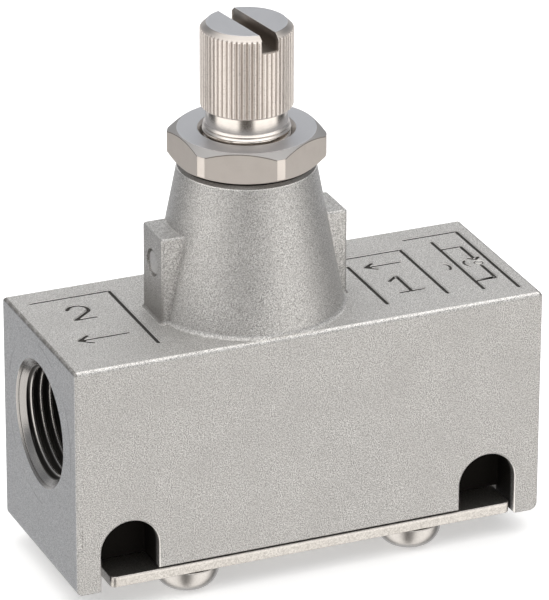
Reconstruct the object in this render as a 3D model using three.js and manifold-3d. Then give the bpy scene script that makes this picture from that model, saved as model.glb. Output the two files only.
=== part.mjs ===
// In-line flow control valve with a built-in check valve: a cast body with two G3/8 ports,
// a conical tower that carries a knurled throttle screw and its lock nut, a needle, a sprung
// check poppet with a throttle orifice, and a screwed bottom cover.
// Millimetres, +Z up. The origin is on the resting plane (the bottom of the cover screws'
// heads), at the middle of the block. +X points to the inlet port, -Y to the front.
import * as THREE from 'three';
import { mergeVertices } from 'three/addons/utils/BufferGeometryUtils.js';
import Module from 'manifold-3d';

const wasm = await Module();
wasm.setup();

// ---- Driving dimensions -------------------------------------------------------------------

// Clearances
const seatGap = 0.04;            // between two flat faces that rest on each other
const pressGap = 0.12;           // round a pressed or screwed-in round piece
const slideGap = 0.3;            // round a piece that slides or turns
const threadGap = 0.21;          // round a thread, which is a plain cylinder at its crest
const looseGap = 0.1;            // between faces that touch only once a piece has moved
const overrun = 1;               // how far a cutter runs past the face that it opens

// Cast block
const blockLength = 68;
const blockWidth = 27;
const blockHeight = 30.75;       // underside to top face
const topEdgeRadius = 0.65;
const legLength = 3.55;          // along X, at each end
const archRadius = 4.15;
const archHeight = 9.8;          // the legs' bottom to the arch's top
const archDepth = 5.4;           // pocket depth from the front and back faces
const portRise = 17.62;          // port axis above the underside

// Ports, G3/8
const portRadius = 7.9;          // mean of the thread's crest and root
const portMouthRadius = 8.9;
const portMouthDepth = 1.2;
const portDepth = 12;
const portTaper = 2;             // coned bottom of the port, past its depth
const outletPassageRadius = 4.5;
const outletPassageRise = 1.6;   // above the port axis
const inletPassageRadius = 3.8;
const inletPassageTop = -2.5;    // passage axis at the port's bottom, from the port axis
const inletPassageFoot = 4.6;    // passage axis inside the check chamber, above the underside
const inletPassageReach = 2.9;   // passage's end from the tower axis

// Tower and its side ribs
const towerOffset = -3.9;        // tower axis along X
const towerBaseRadius = 13.2;
const towerEdgeRadius = 9.4;
const towerNeckRadius = 9.0;
const coneHeight = 19.9;
const neckHeight = 0.55;
const ribHalfWidth = 3.5;
const ribHeight = 12.3;          // above the block's top face
const outletRibReach = 13.65;    // from the tower axis
const inletRibReach = 13.3;
const pinRise = 7.7;             // guide pins' axis above the block's top face

// Bore stack on the tower axis
const chamberRadius = 9.0;       // check chamber, open at the underside
const chamberHeight = 14.1;      // underside to the shoulder above the seat ring
const upperChamberRadius = 7.0;
const upperChamberHeight = 14.0;
const guideBoreHeight = 13.9;    // upper chamber's roof to the bottom of the screw thread

// Throttle screw (knob, neck and M12x1 shank) and lock nut
const shankRadius = 6.0;
const threadRelief = 0.5;        // neck's step below the thread's crest
const neckLength = 2.5;
const shankProud = 0.7;          // thread shown above the nut
const threadChamfer = 0.5;       // at the shank's foot and the tower's mouth
const shankDepth = 7.5;          // thread engaged below the tower's top face
const knobRadius = 6.25;
const knobKnurlLength = 11.0;
const knobTopRadius = 5.4;
const knobTopHeight = 0.8;
const knobFootEdge = 0.3;        // chamfer at the knurl's lower end
const knurlTeeth = 56;
const knurlDepth = 0.28;
const slotWidth = 2.4;
const slotDepth = 2.45;
const slotTurn = 98;             // degrees from +X
const nutAcrossFlats = 19;
const nutCornerRadius = 10.65;
const nutChamferRadius = 9.35;
const nutThickness = 4.4;
const nutThreadChamfer = 0.4;
const nutTurn = -87.4;           // degrees, direction of one corner
const washerThickness = 0.2;
const washerRadius = 8.7;

// Needle and what holds it
const stemRadius = 4.0;
const stemNeckRadius = 2.4;
const stemNeckLength = 2.6;      // bare neck under the collar
const stemStand = 1.1;           // stem's lower shoulder above the upper chamber's roof
const stemEdge = 0.4;
const socketWall = 1.05;         // screw's wall outside the retaining ring's groove
const collarHeight = 1.4;
const needleRadius = 2.75;
const needleTipRadius = 0.6;
const needleHalfAngle = 15;      // degrees
const retainingRingHeight = 0.7;
const retainingRingGrip = 0.45;  // depth of its groove in the screw's socket
const retainingRingRise = 0.3;   // ring above the shank's lower end
const retainingRingOpening = 1.6;
const socketCone = 1.2;          // coned roof of the screw's socket
const pinRadius = 1.8;
const pinRecess = 0.2;           // pin end below the rib's face
const pinReach = 1.2;            // pin tip inside the stem's surface
const screwInTravel = 1.4;       // from rest to closed
const screwOutTravel = 3.6;      // from rest to fully open
const sealWire = 1.0;            // radius of the stem seal's groove section
const sealSlack = 0.12;          // how much thinner the seal itself is
const sealGrooveRise = 0.8;      // above the stem's lower shoulder
const bushLength = 7.0;
const bushWall = 1.4;

// Check valve
const seatRingHeight = 2.5;
const seatRadius = 5.2;
const poppetDiscHeight = 1.8;
const poppetDiscInset = 1.0;     // disc edge inside the chamber's wall
const poppetSkirtDrop = 5.6;     // skirt length under the disc
const poppetSkirtWall = 1.9;
const poppetHubRadius = 3.8;
const poppetHubRise = 3.6;       // above the disc
const orificeRadius = 1.8;
const orificeChamfer = 0.6;
const needleClosedGap = 0.15;    // needle above the orifice when screwed in
const poppetWindowWidth = 5;
const poppetWindowDrop = 0.3;    // windows' top below the spring pocket's roof
const poppetWebHeight = 1.5;     // web between disc face and spring pocket, under the disc
const poppetSealWidth = 1.4;
const poppetSealHeight = 0.9;
const springWire = 0.5;          // wire radius
const springTurns = 4.5;

// Bottom cover
const plateThickness = 1.6;
const plateRecess = 0.2;         // plate's underside above the legs' bottom
const plateSideGap = 0.2;
const outletEndGap = 1.45;
const inletEndGap = 0.5;
const plateCornerRadius = 0.8;
const gasketThickness = 0.22;
const gasketInset = 0.3;
const screwPitchX = 33;
const screwEdge = 4.5;           // screw axis from the block's front and back faces
const screwRadius = 2.5;
const screwLength = 10;
const screwTipEdge = 0.5;
const screwHeadRadius = 4.5;
const screwHeadHeight = 3.45;
const screwHeadRim = 0.6;        // upright rim above the dome
const screwHeadFlat = 0.45;      // flat crown, as a share of the head's radius
const screwRecessWidth = 1.1;
const screwRecessSpan = 3.8;
const screwRecessDepth = 1.6;

// ---- Levels along Z and places worked out from them ---------------------------------------

const plateBottom = screwHeadHeight + seatGap;
const plateTop = plateBottom + plateThickness;
const legBottom = plateBottom - plateRecess;
const underside = plateTop + gasketThickness + 2 * seatGap;
const blockTop = underside + blockHeight;
const portAxis = underside + portRise;
const recessHalf = blockLength / 2 - legLength;
const archOffset = recessHalf - archRadius;
const archCentre = legBottom + archHeight - archRadius;
const screwY = blockWidth / 2 - screwEdge;
const towerTop = blockTop + coneHeight + neckHeight;
const pinAxis = blockTop + pinRise;
const chamberTop = underside + chamberHeight;
const upperChamberTop = chamberTop + upperChamberHeight;
const threadBottom = upperChamberTop + guideBoreHeight;
const nutBottom = towerTop + washerThickness + 2 * seatGap;
const shankTop = nutBottom + nutThickness + shankProud;
const shankBottom = towerTop - shankDepth;
const knurlBottom = shankTop + neckLength;
const knurlTop = knurlBottom + knobKnurlLength;
const knobTop = knurlTop + knobTopHeight;
const seatRingBottom = chamberTop - seatGap - seatRingHeight;
const discTop = seatRingBottom - looseGap;
const poppetTop = discTop + poppetHubRise;
const springTop = discTop - poppetDiscHeight - poppetWebHeight - seatGap;
const ringBottom = shankBottom + retainingRingRise;
const collarBottom = ringBottom + retainingRingHeight + 2 * looseGap;
const socketTop = collarBottom + collarHeight + slideGap;
const stemTop = collarBottom - stemNeckLength;
const stemBottom = upperChamberTop + stemStand;

const neckRadius = shankRadius - threadRelief;
const collarRadius = shankRadius - socketWall - retainingRingGrip - slideGap;
const threadBore = shankRadius + threadGap;
const screwBore = screwRadius + slideGap;

const fine = 48;                 // facets round a large piece
const coarse = 24;               // facets round a small one

// ---- Solids from three.js geometry --------------------------------------------------------

// A closed geometry as a manifold solid, with its faces turned outwards.
function solidOf(geometry) {
  geometry.deleteAttribute('normal');
  geometry.deleteAttribute('uv');
  const merged = mergeVertices(geometry, 1e-5);
  const points = merged.attributes.position.array;
  const source = merged.index.array;
  const corners = [];
  for (let i = 0; i < source.length; i += 3) {
    const [a, b, c] = [source[i], source[i + 1], source[i + 2]];
    if (a !== b && b !== c && c !== a) corners.push(a, b, c);
  }
  if (signedVolume(points, corners) < 0) corners.reverse();
  return new wasm.Manifold(new wasm.Mesh({
    numProp: 3,
    vertProperties: new Float32Array(points),
    triVerts: new Uint32Array(corners),
  }));
}

function signedVolume(points, corners) {
  const at = (i) => new THREE.Vector3().fromArray(points, 3 * i);
  let total = 0;
  for (let i = 0; i < corners.length; i += 3) {
    total += at(corners[i]).dot(at(corners[i + 1]).cross(at(corners[i + 2])));
  }
  return total;
}

// A profile of [radius, z] pairs turned round the Z axis.
function turned(profile, facets = fine) {
  const outline = profile.map(([radius, z]) => new THREE.Vector2(radius, z));
  return solidOf(new THREE.LatheGeometry(outline, facets).rotateX(Math.PI / 2));
}

function disc(radius, bottom, top, facets = fine) {
  return turned([[0, bottom], [radius, bottom], [radius, top], [0, top]], facets);
}

function ring(inner, outer, bottom, top, facets = fine) {
  const section = [[inner, bottom], [outer, bottom], [outer, top], [inner, top], [inner, bottom]];
  return turned(section, facets);
}

function box(x0, x1, y0, y1, z0, z1) {
  const geometry = new THREE.BoxGeometry(x1 - x0, y1 - y0, z1 - z0);
  return solidOf(geometry.translate((x0 + x1) / 2, (y0 + y1) / 2, (z0 + z1) / 2));
}

// A round bar of the given radius from one point to another.
function bar(radius, start, end, facets = coarse) {
  const axis = new THREE.Vector3().subVectors(end, start);
  const geometry = new THREE.CylinderGeometry(radius, radius, axis.length(), facets);
  const turn = new THREE.Quaternion().setFromUnitVectors(
    new THREE.Vector3(0, 1, 0), axis.clone().normalize());
  const middle = new THREE.Vector3().addVectors(start, end).multiplyScalar(0.5);
  return solidOf(geometry.applyQuaternion(turn).translate(middle.x, middle.y, middle.z));
}

// A shape drawn in the XZ plane, extruded along Y from y0 to y1.
function slabAlongY(shape, y0, y1) {
  const geometry = new THREE.ExtrudeGeometry(shape, {
    depth: y1 - y0, bevelEnabled: false, curveSegments: 10,
  });
  return solidOf(geometry.rotateX(Math.PI / 2).translate(0, y1, 0));
}

// A shape drawn in the YZ plane, extruded along X from x0 to x1.
function slabAlongX(shape, x0, x1) {
  const geometry = new THREE.ExtrudeGeometry(shape, {
    depth: x1 - x0, bevelEnabled: false, curveSegments: 4,
  });
  return solidOf(geometry.rotateX(Math.PI / 2).rotateZ(Math.PI / 2).translate(x0, 0, 0));
}

// A shape drawn in the XY plane, extruded along Z from z0 to z1.
function slabAlongZ(shape, z0, z1) {
  const geometry = new THREE.ExtrudeGeometry(shape, {
    depth: z1 - z0, bevelEnabled: false, curveSegments: 4,
  });
  return solidOf(geometry.translate(0, 0, z0));
}

function roundedRectangle(x0, x1, y0, y1, radius) {
  const shape = new THREE.Shape();
  shape.absarc(x1 - radius, y1 - radius, radius, 0, Math.PI / 2);
  shape.absarc(x0 + radius, y1 - radius, radius, Math.PI / 2, Math.PI);
  shape.absarc(x0 + radius, y0 + radius, radius, Math.PI, 1.5 * Math.PI);
  shape.absarc(x1 - radius, y0 + radius, radius, 1.5 * Math.PI, 2 * Math.PI);
  return shape;
}

function finish(color, roughness, metalness) {
  return new THREE.MeshStandardMaterial({ color, roughness, metalness });
}

// A named mesh from a solid.
function piece(name, solid, material) {
  const data = solid.getMesh();
  const geometry = new THREE.BufferGeometry();
  geometry.setAttribute('position', new THREE.BufferAttribute(data.vertProperties, 3));
  geometry.setIndex(new THREE.BufferAttribute(data.triVerts, 1));
  geometry.computeVertexNormals();
  const mesh = new THREE.Mesh(geometry, material);
  mesh.name = name;
  return mesh;
}

// ---- Valve body ---------------------------------------------------------------------------

// The block: its section across the width has the two long top edges rounded.
function castBlock() {
  const half = blockWidth / 2;
  const section = new THREE.Shape();
  section.moveTo(-half, legBottom);
  section.lineTo(half, legBottom);
  section.absarc(half - topEdgeRadius, blockTop - topEdgeRadius, topEdgeRadius, 0, Math.PI / 2);
  section.absarc(topEdgeRadius - half, blockTop - topEdgeRadius, topEdgeRadius,
    Math.PI / 2, Math.PI);
  const block = slabAlongX(section, -blockLength / 2, blockLength / 2);
  const recess = box(-recessHalf, recessHalf, -blockWidth, blockWidth, 0, underside);
  return block.subtract(recess);
}

// One arched pocket in the front or back face, just inside a leg.
function archPocket(side, face) {
  const arch = new THREE.Shape();
  const centre = side * archOffset;
  arch.moveTo(centre - archRadius, 0);
  arch.lineTo(centre + archRadius, 0);
  arch.absarc(centre, archCentre, archRadius, 0, Math.PI);
  const outer = face * (blockWidth / 2 + overrun);
  const inner = face * (blockWidth / 2 - archDepth);
  return slabAlongY(arch, Math.min(outer, inner), Math.max(outer, inner));
}

// The conical tower with its two ribs, trimmed to the block's width.
function tower() {
  const root = 2;
  const cone = turned([
    [0, blockTop - root],
    [towerBaseRadius, blockTop - root],
    [towerBaseRadius, blockTop],
    [towerEdgeRadius, blockTop + coneHeight],
    [towerNeckRadius, towerTop],
    [0, towerTop],
  ]);
  const ribs = box(-outletRibReach, inletRibReach, -ribHalfWidth, ribHalfWidth,
    blockTop - root, blockTop + ribHeight);
  const trim = box(-blockLength, blockLength, -blockWidth / 2, blockWidth / 2, 0, 2 * towerTop);
  return cone.add(ribs).translate([towerOffset, 0, 0]).intersect(trim);
}

// Everything bored on the tower axis, from the check chamber up to the screw's thread.
function boreStack() {
  const bushBore = stemRadius + slideGap + bushWall;
  const bushTop = upperChamberTop + bushLength + seatGap;
  const mouth = threadBore + threadChamfer;
  return turned([
    [0, underside - overrun],
    [chamberRadius, underside - overrun],
    [chamberRadius, chamberTop],
    [upperChamberRadius, chamberTop],
    [upperChamberRadius, upperChamberTop],
    [bushBore, upperChamberTop],
    [bushBore, bushTop],
    [stemRadius + slideGap, bushTop],
    [stemRadius + slideGap, threadBottom],
    [threadBore, threadBottom],
    [threadBore, towerTop - threadChamfer],
    [mouth, towerTop],
    [mouth, towerTop + overrun],
    [0, towerTop + overrun],
  ]).translate([towerOffset, 0, 0]);
}

// A threaded port with its chamfered mouth; side is +1 for the inlet, -1 for the outlet.
function portBore(side) {
  const face = blockLength / 2;
  const bore = turned([
    [0, face - portDepth - portTaper],
    [portRadius / 2, face - portDepth - portTaper],
    [portRadius, face - portDepth],
    [portRadius, face - portMouthDepth],
    [portMouthRadius, face],
    [portMouthRadius, face + overrun],
    [0, face + overrun],
  ]);
  return bore.rotate([0, side * 90, 0]).translate([0, 0, portAxis]);
}

function outletPassage() {
  const height = portAxis + outletPassageRise;
  const start = new THREE.Vector3(portDepth - blockLength / 2 - overrun, 0, height);
  return bar(outletPassageRadius, start, new THREE.Vector3(towerOffset, 0, height));
}

function inletPassage() {
  const top = portAxis + inletPassageTop;
  const start = new THREE.Vector3(blockLength / 2 - portDepth + overrun, 0, top);
  const foot = underside + inletPassageFoot;
  const end = new THREE.Vector3(towerOffset + inletPassageReach, 0, foot);
  return bar(inletPassageRadius, start, end);
}

function pinHole(side, reach) {
  const start = new THREE.Vector3(towerOffset + side * (stemRadius - pinReach), 0, pinAxis);
  const end = new THREE.Vector3(towerOffset + side * (reach + overrun), 0, pinAxis);
  return bar(pinRadius + pressGap, start, end);
}

function eachScrew(build) {
  const made = [];
  for (const [row, y] of [['front', -screwY], ['rear', screwY]]) {
    for (const [end, x] of [['left', -screwPitchX / 2], ['right', screwPitchX / 2]]) {
      made.push(build(`${row}_${end}`, x, y));
    }
  }
  return made;
}

function screwHoles(radius, bottom, top) {
  return eachScrew((name, x, y) => disc(radius, bottom, top, coarse).translate([x, y, 0]));
}

function valveBody() {
  let body = castBlock().add(tower()).subtract(boreStack());
  for (const side of [-1, 1]) {
    body = body.subtract(portBore(side));
    for (const face of [-1, 1]) body = body.subtract(archPocket(side, face));
  }
  body = body.subtract(outletPassage()).subtract(inletPassage());
  body = body.subtract(pinHole(-1, outletRibReach)).subtract(pinHole(1, inletRibReach));
  const tapTop = plateBottom + screwLength + overrun;
  for (const tap of screwHoles(screwRadius + pressGap, underside - overrun, tapTop)) {
    body = body.subtract(tap);
  }
  return piece('valve_body', body, finish(0xb9b8b5, 0.5, 0.6));
}

// ---- Throttle screw, lock nut and washer --------------------------------------------------

// Outline of the straight knurl: a tooth tip and a root for every tooth.
function knurlOutline() {
  const points = [];
  for (let i = 0; i < 2 * knurlTeeth; i += 1) {
    const radius = i % 2 === 0 ? knobRadius : knobRadius - knurlDepth;
    const angle = (Math.PI * i) / knurlTeeth;
    points.push(new THREE.Vector2(radius * Math.cos(angle), radius * Math.sin(angle)));
  }
  return new THREE.Shape(points);
}

function adjustingKnob() {
  const knurlFoot = knurlBottom + knobFootEdge;
  const clear = knobRadius + seatGap;
  const envelope = turned([
    [0, knurlBottom],
    [knobRadius - knobFootEdge, knurlBottom],
    [clear, knurlFoot],
    [clear, knurlTop],
    [knobTopRadius, knobTop],
    [0, knobTop],
  ]);
  const head = slabAlongZ(knurlOutline(), knurlBottom, knobTop).intersect(envelope);
  const shank = turned([
    [0, shankBottom],
    [shankRadius - threadChamfer, shankBottom],
    [shankRadius, shankBottom + threadChamfer],
    [shankRadius, shankTop],
    [neckRadius, shankTop],
    [neckRadius, knurlFoot],
    [0, knurlFoot],
  ]);
  const socketRadius = collarRadius + slideGap;
  const grooveRadius = socketRadius + retainingRingGrip;
  const grooveBottom = ringBottom - looseGap;
  const grooveTop = ringBottom + retainingRingHeight + looseGap;
  const socket = turned([
    [0, shankBottom - overrun],
    [socketRadius, shankBottom - overrun],
    [socketRadius, grooveBottom],
    [grooveRadius, grooveBottom],
    [grooveRadius, grooveTop],
    [socketRadius, grooveTop],
    [socketRadius, socketTop],
    [0, socketTop + socketCone],
  ]);
  const slot = box(-knobRadius - overrun, knobRadius + overrun, -slotWidth / 2, slotWidth / 2,
    knobTop - slotDepth, knobTop + overrun).rotate([0, 0, slotTurn]);
  const knob = head.add(shank).subtract(socket).subtract(slot);
  return piece('adjusting_knob', knob, finish(0xc9c1b8, 0.3, 0.95));
}

function lockNut() {
  const corner = nutAcrossFlats / Math.sqrt(3);
  const hexagon = new THREE.Shape();
  for (let k = 0; k < 6; k += 1) {
    const angle = THREE.MathUtils.degToRad(nutTurn + 60 * k);
    const point = [corner * Math.cos(angle), corner * Math.sin(angle)];
    if (k === 0) hexagon.moveTo(...point);
    else hexagon.lineTo(...point);
  }
  const nutTop = nutBottom + nutThickness;
  const chamfer = (nutCornerRadius - nutChamferRadius) * Math.tan(Math.PI / 6);
  const envelope = turned([
    [0, nutBottom],
    [nutChamferRadius, nutBottom],
    [nutCornerRadius, nutBottom + chamfer],
    [nutCornerRadius, nutTop - chamfer],
    [nutChamferRadius, nutTop],
    [0, nutTop],
  ]);
  const mouth = threadBore + nutThreadChamfer;
  const opening = turned([
    [0, nutBottom - overrun],
    [mouth, nutBottom - overrun],
    [mouth, nutBottom],
    [threadBore, nutBottom + nutThreadChamfer],
    [threadBore, nutTop - nutThreadChamfer],
    [mouth, nutTop],
    [mouth, nutTop + overrun],
    [0, nutTop + overrun],
  ]);
  const nut = slabAlongZ(hexagon, nutBottom, nutTop).intersect(envelope).subtract(opening);
  return piece('lock_nut', nut, finish(0xcbc4bc, 0.32, 0.95));
}

function nutWasher() {
  const bottom = towerTop + seatGap;
  const body = ring(shankRadius + slideGap, washerRadius, bottom, bottom + washerThickness);
  return piece('nut_washer', body, finish(0x1b1a19, 0.7, 0.1));
}

// ---- Needle, its seals and its guides -----------------------------------------------------

function needleStem() {
  const slope = Math.tan(THREE.MathUtils.degToRad(needleHalfAngle));
  const closeLevel = poppetTop + screwInTravel + needleClosedGap;
  const taperTop = closeLevel + (needleRadius - orificeRadius) / slope;
  const tip = closeLevel - (orificeRadius - needleTipRadius) / slope;
  const grooveBottom = stemBottom + sealGrooveRise;
  const grooveTop = grooveBottom + 2 * (sealWire + looseGap);
  const groove = stemRadius + slideGap - 2 * sealWire - looseGap;
  const needle = turned([
    [0, tip],
    [needleTipRadius, tip],
    [needleRadius, taperTop],
    [needleRadius, stemBottom],
    [stemRadius, stemBottom],
    [stemRadius, grooveBottom],
    [groove, grooveBottom],
    [groove, grooveTop],
    [stemRadius, grooveTop],
    [stemRadius, stemTop - stemEdge],
    [stemRadius - stemEdge, stemTop],
    [stemNeckRadius, stemTop],
    [stemNeckRadius, collarBottom],
    [collarRadius, collarBottom],
    [collarRadius, collarBottom + collarHeight],
    [0, collarBottom + collarHeight],
  ], coarse);
  const half = pinRadius + slideGap;
  const flat = stemRadius - pinReach - slideGap;
  const slotBottom = pinAxis - screwOutTravel - half;
  const slotTop = pinAxis + screwInTravel + half;
  const outside = stemRadius + overrun;
  const slots = box(flat, outside, -half, half, slotBottom, slotTop)
    .add(box(-outside, -flat, -half, half, slotBottom, slotTop));
  return piece('needle_stem', needle.subtract(slots), finish(0xb8b6b2, 0.25, 1));
}

// A seal ring of round section lying in the stem's groove.
function stemSeal() {
  const radius = sealWire - sealSlack;
  const centre = stemRadius + slideGap - looseGap - radius;
  const height = stemBottom + sealGrooveRise + looseGap + sealWire;
  const section = [];
  const sides = 8;
  for (let i = 0; i < sides; i += 1) {
    const angle = (2 * Math.PI * i) / sides;
    section.push([centre + radius * Math.cos(angle), height + radius * Math.sin(angle)]);
  }
  section.push(section[0]);
  return piece('stem_seal', turned(section, coarse), finish(0x151515, 0.6, 0));
}

function retainingRing() {
  const outer = collarRadius + slideGap + retainingRingGrip - pressGap;
  const top = ringBottom + retainingRingHeight;
  const gap = retainingRingOpening / 2;
  const body = ring(stemNeckRadius + slideGap, outer, ringBottom, top, coarse)
    .subtract(box(0, outer + overrun, -gap, gap, ringBottom - overrun, top + overrun));
  return piece('retaining_ring', body, finish(0x6f6d6a, 0.4, 1));
}

function stemBush() {
  const bottom = upperChamberTop + seatGap;
  const inner = stemRadius + slideGap;
  const outer = inner + bushWall - pressGap;
  return piece('stem_bush', ring(inner, outer, bottom, bottom + bushLength - seatGap, coarse),
    finish(0xb08d4a, 0.35, 1));
}

function guidePin(name, side, reach) {
  const start = new THREE.Vector3(side * (stemRadius - pinReach), 0, pinAxis);
  const end = new THREE.Vector3(side * (reach - pinRecess), 0, pinAxis);
  return piece(name, bar(pinRadius, start, end), finish(0xd6d3ce, 0.3, 1));
}

// ---- Check valve --------------------------------------------------------------------------

function seatRing() {
  const body = ring(seatRadius, chamberRadius - pressGap, seatRingBottom,
    seatRingBottom + seatRingHeight, coarse);
  return piece('seat_ring', body, finish(0xb08d4a, 0.35, 1));
}

function sealCentre() {
  return (seatRadius + chamberRadius - poppetDiscInset) / 2;
}

function checkPoppet() {
  const discRadius = chamberRadius - poppetDiscInset;
  const skirtRadius = chamberRadius - slideGap;
  const pocketRadius = skirtRadius - poppetSkirtWall;
  const discBottom = discTop - poppetDiscHeight;
  const skirtBottom = discBottom - poppetSkirtDrop;
  const pocketTop = discBottom - poppetWebHeight;
  const body = turned([
    [orificeRadius, poppetTop - orificeChamfer],
    [orificeRadius + orificeChamfer, poppetTop],
    [poppetHubRadius, poppetTop],
    [poppetHubRadius, discTop],
    [discRadius, discTop],
    [discRadius, discBottom],
    [skirtRadius, discBottom],
    [skirtRadius, skirtBottom],
    [pocketRadius, skirtBottom],
    [pocketRadius, pocketTop],
    [orificeRadius, pocketTop],
    [orificeRadius, poppetTop - orificeChamfer],
  ], coarse);
  const width = poppetSealWidth / 2 + looseGap;
  const groove = ring(sealCentre() - width, sealCentre() + width,
    discTop - poppetSealHeight, discTop + overrun, coarse);
  const half = poppetWindowWidth / 2;
  const windows = box(-chamberRadius, chamberRadius, -half, half,
    skirtBottom - overrun, pocketTop - poppetWindowDrop);
  const poppet = body.subtract(groove).subtract(windows.rotate([0, 0, 45]))
    .subtract(windows.rotate([0, 0, -45]));
  return piece('check_poppet', poppet, finish(0xb08d4a, 0.35, 1));
}

function poppetSeal() {
  const bottom = discTop - poppetSealHeight + seatGap;
  const width = poppetSealWidth / 2;
  return piece('poppet_seal', ring(sealCentre() - width, sealCentre() + width,
    bottom, discTop + looseGap / 2, coarse), finish(0x151515, 0.6, 0));
}

// A helix of round wire; the end turns lie flatter, as on a ground spring.
class SpringLine extends THREE.Curve {
  constructor(radius, bottom, top) {
    super();
    Object.assign(this, { radius, bottom, top });
  }

  getPoint(t, target = new THREE.Vector3()) {
    const angle = 2 * Math.PI * springTurns * t;
    const rise = t - Math.sin(4 * Math.PI * t) / (8 * Math.PI);
    const height = this.bottom + (this.top - this.bottom) * rise;
    return target.set(this.radius * Math.cos(angle), this.radius * Math.sin(angle), height);
  }
}

function checkSpring() {
  const radius = chamberRadius - slideGap - poppetSkirtWall - slideGap - springWire;
  const end = looseGap + springWire;
  const line = new SpringLine(radius, plateTop + end, springTop - end);
  const section = new THREE.Shape().absarc(0, 0, springWire, 0, 2 * Math.PI);
  const wire = new THREE.ExtrudeGeometry(section, {
    steps: Math.round(springTurns * 14), curveSegments: 3, bevelEnabled: false, extrudePath: line,
  });
  return piece('check_spring', solidOf(wire), finish(0xa9a7a3, 0.3, 1));
}

// ---- Bottom cover -------------------------------------------------------------------------

function coverPlate() {
  const half = blockWidth / 2 - plateSideGap;
  const outline = roundedRectangle(-recessHalf + outletEndGap, recessHalf - inletEndGap,
    -half, half, plateCornerRadius);
  let plate = slabAlongZ(outline, plateBottom, plateTop);
  for (const hole of screwHoles(screwBore, 0, plateTop + overrun)) plate = plate.subtract(hole);
  return piece('cover_plate', plate, finish(0xcfcdca, 0.35, 0.9));
}

function coverGasket() {
  const half = blockWidth / 2 - plateSideGap - gasketInset;
  const reach = archOffset - archRadius - gasketInset;
  const bottom = plateTop + seatGap;
  const outline = roundedRectangle(-reach, reach, -half, half, plateCornerRadius);
  let gasket = slabAlongZ(outline, bottom, bottom + gasketThickness)
    .subtract(disc(chamberRadius, 0, underside + overrun, coarse).translate([towerOffset, 0, 0]));
  for (const hole of screwHoles(screwBore, 0, underside + overrun)) {
    gasket = gasket.subtract(hole);
  }
  return piece('cover_gasket', gasket, finish(0x1d1d1c, 0.8, 0));
}

// A cover screw: domed head with a cross recess, standing head down.
function coverScrew(name) {
  const profile = [[0, 0]];
  const steps = 4;
  const tip = screwHeadHeight + screwLength;
  for (let i = 0; i <= steps; i += 1) {
    const angle = (Math.PI / 2) * (i / steps);
    const share = screwHeadFlat + (1 - screwHeadFlat) * Math.sin(angle);
    const height = (screwHeadHeight - screwHeadRim) * (1 - Math.cos(angle));
    profile.push([screwHeadRadius * share, height]);
  }
  profile.push([screwHeadRadius, screwHeadHeight], [screwRadius, screwHeadHeight],
    [screwRadius, tip - screwTipEdge], [screwRadius - screwTipEdge, tip], [0, tip]);
  const half = screwRecessWidth / 2;
  const span = screwRecessSpan / 2;
  const arm = box(-span, span, -half, half, -overrun, screwRecessDepth);
  const screw = turned(profile, coarse).subtract(arm).subtract(arm.rotate([0, 0, 90]));
  return piece(name, screw, finish(0xc9c7c3, 0.28, 0.95));
}

// ---- Assembly -----------------------------------------------------------------------------

// Pieces that share the tower axis are modelled round their own axis and placed as one group.
function towerStack() {
  const stack = new THREE.Group();
  stack.add(
    adjustingKnob(), lockNut(), nutWasher(), needleStem(), stemSeal(), retainingRing(),
    stemBush(), guidePin('outlet_guide_pin', -1, outletRibReach),
    guidePin('inlet_guide_pin', 1, inletRibReach), seatRing(), checkPoppet(), poppetSeal(),
    checkSpring());
  stack.position.x = towerOffset;
  return stack;
}

function bottomCover() {
  const cover = new THREE.Group();
  cover.add(coverPlate(), coverGasket());
  for (const screw of eachScrew((place, x, y) => {
    const mesh = coverScrew(`cover_screw_${place}`);
    mesh.position.set(x, y, 0);
    return mesh;
  })) cover.add(screw);
  return cover;
}

const valve = new THREE.Group();
valve.add(valveBody(), towerStack(), bottomCover());

export default valve;
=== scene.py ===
import math

import bmesh
import bpy
import numpy as np
from mathutils import Matrix, Vector


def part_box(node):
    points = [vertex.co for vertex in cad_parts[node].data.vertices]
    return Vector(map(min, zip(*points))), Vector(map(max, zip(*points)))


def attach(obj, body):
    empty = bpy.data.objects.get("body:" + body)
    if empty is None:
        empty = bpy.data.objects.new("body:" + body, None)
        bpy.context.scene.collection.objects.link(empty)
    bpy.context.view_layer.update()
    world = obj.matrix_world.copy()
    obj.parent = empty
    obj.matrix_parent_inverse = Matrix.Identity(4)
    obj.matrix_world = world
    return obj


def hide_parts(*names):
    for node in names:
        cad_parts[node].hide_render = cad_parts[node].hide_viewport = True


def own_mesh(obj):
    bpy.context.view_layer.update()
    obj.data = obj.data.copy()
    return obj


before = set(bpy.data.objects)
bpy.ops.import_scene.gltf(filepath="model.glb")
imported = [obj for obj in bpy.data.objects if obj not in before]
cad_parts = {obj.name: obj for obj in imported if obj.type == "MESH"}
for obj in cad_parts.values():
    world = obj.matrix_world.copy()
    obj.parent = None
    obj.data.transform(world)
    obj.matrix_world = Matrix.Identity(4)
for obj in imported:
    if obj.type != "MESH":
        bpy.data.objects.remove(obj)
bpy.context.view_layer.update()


# ---- Camera ----
# A long lens looking down on the valve's front, from the outlet end's side.

view_turn = math.radians(-23.2)
view_rise = math.radians(24.24)
view_roll = math.radians(0.21)
view_distance = 0.6978
view_aim = Vector((0.00249, 0.00529, 0.03267))

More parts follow.
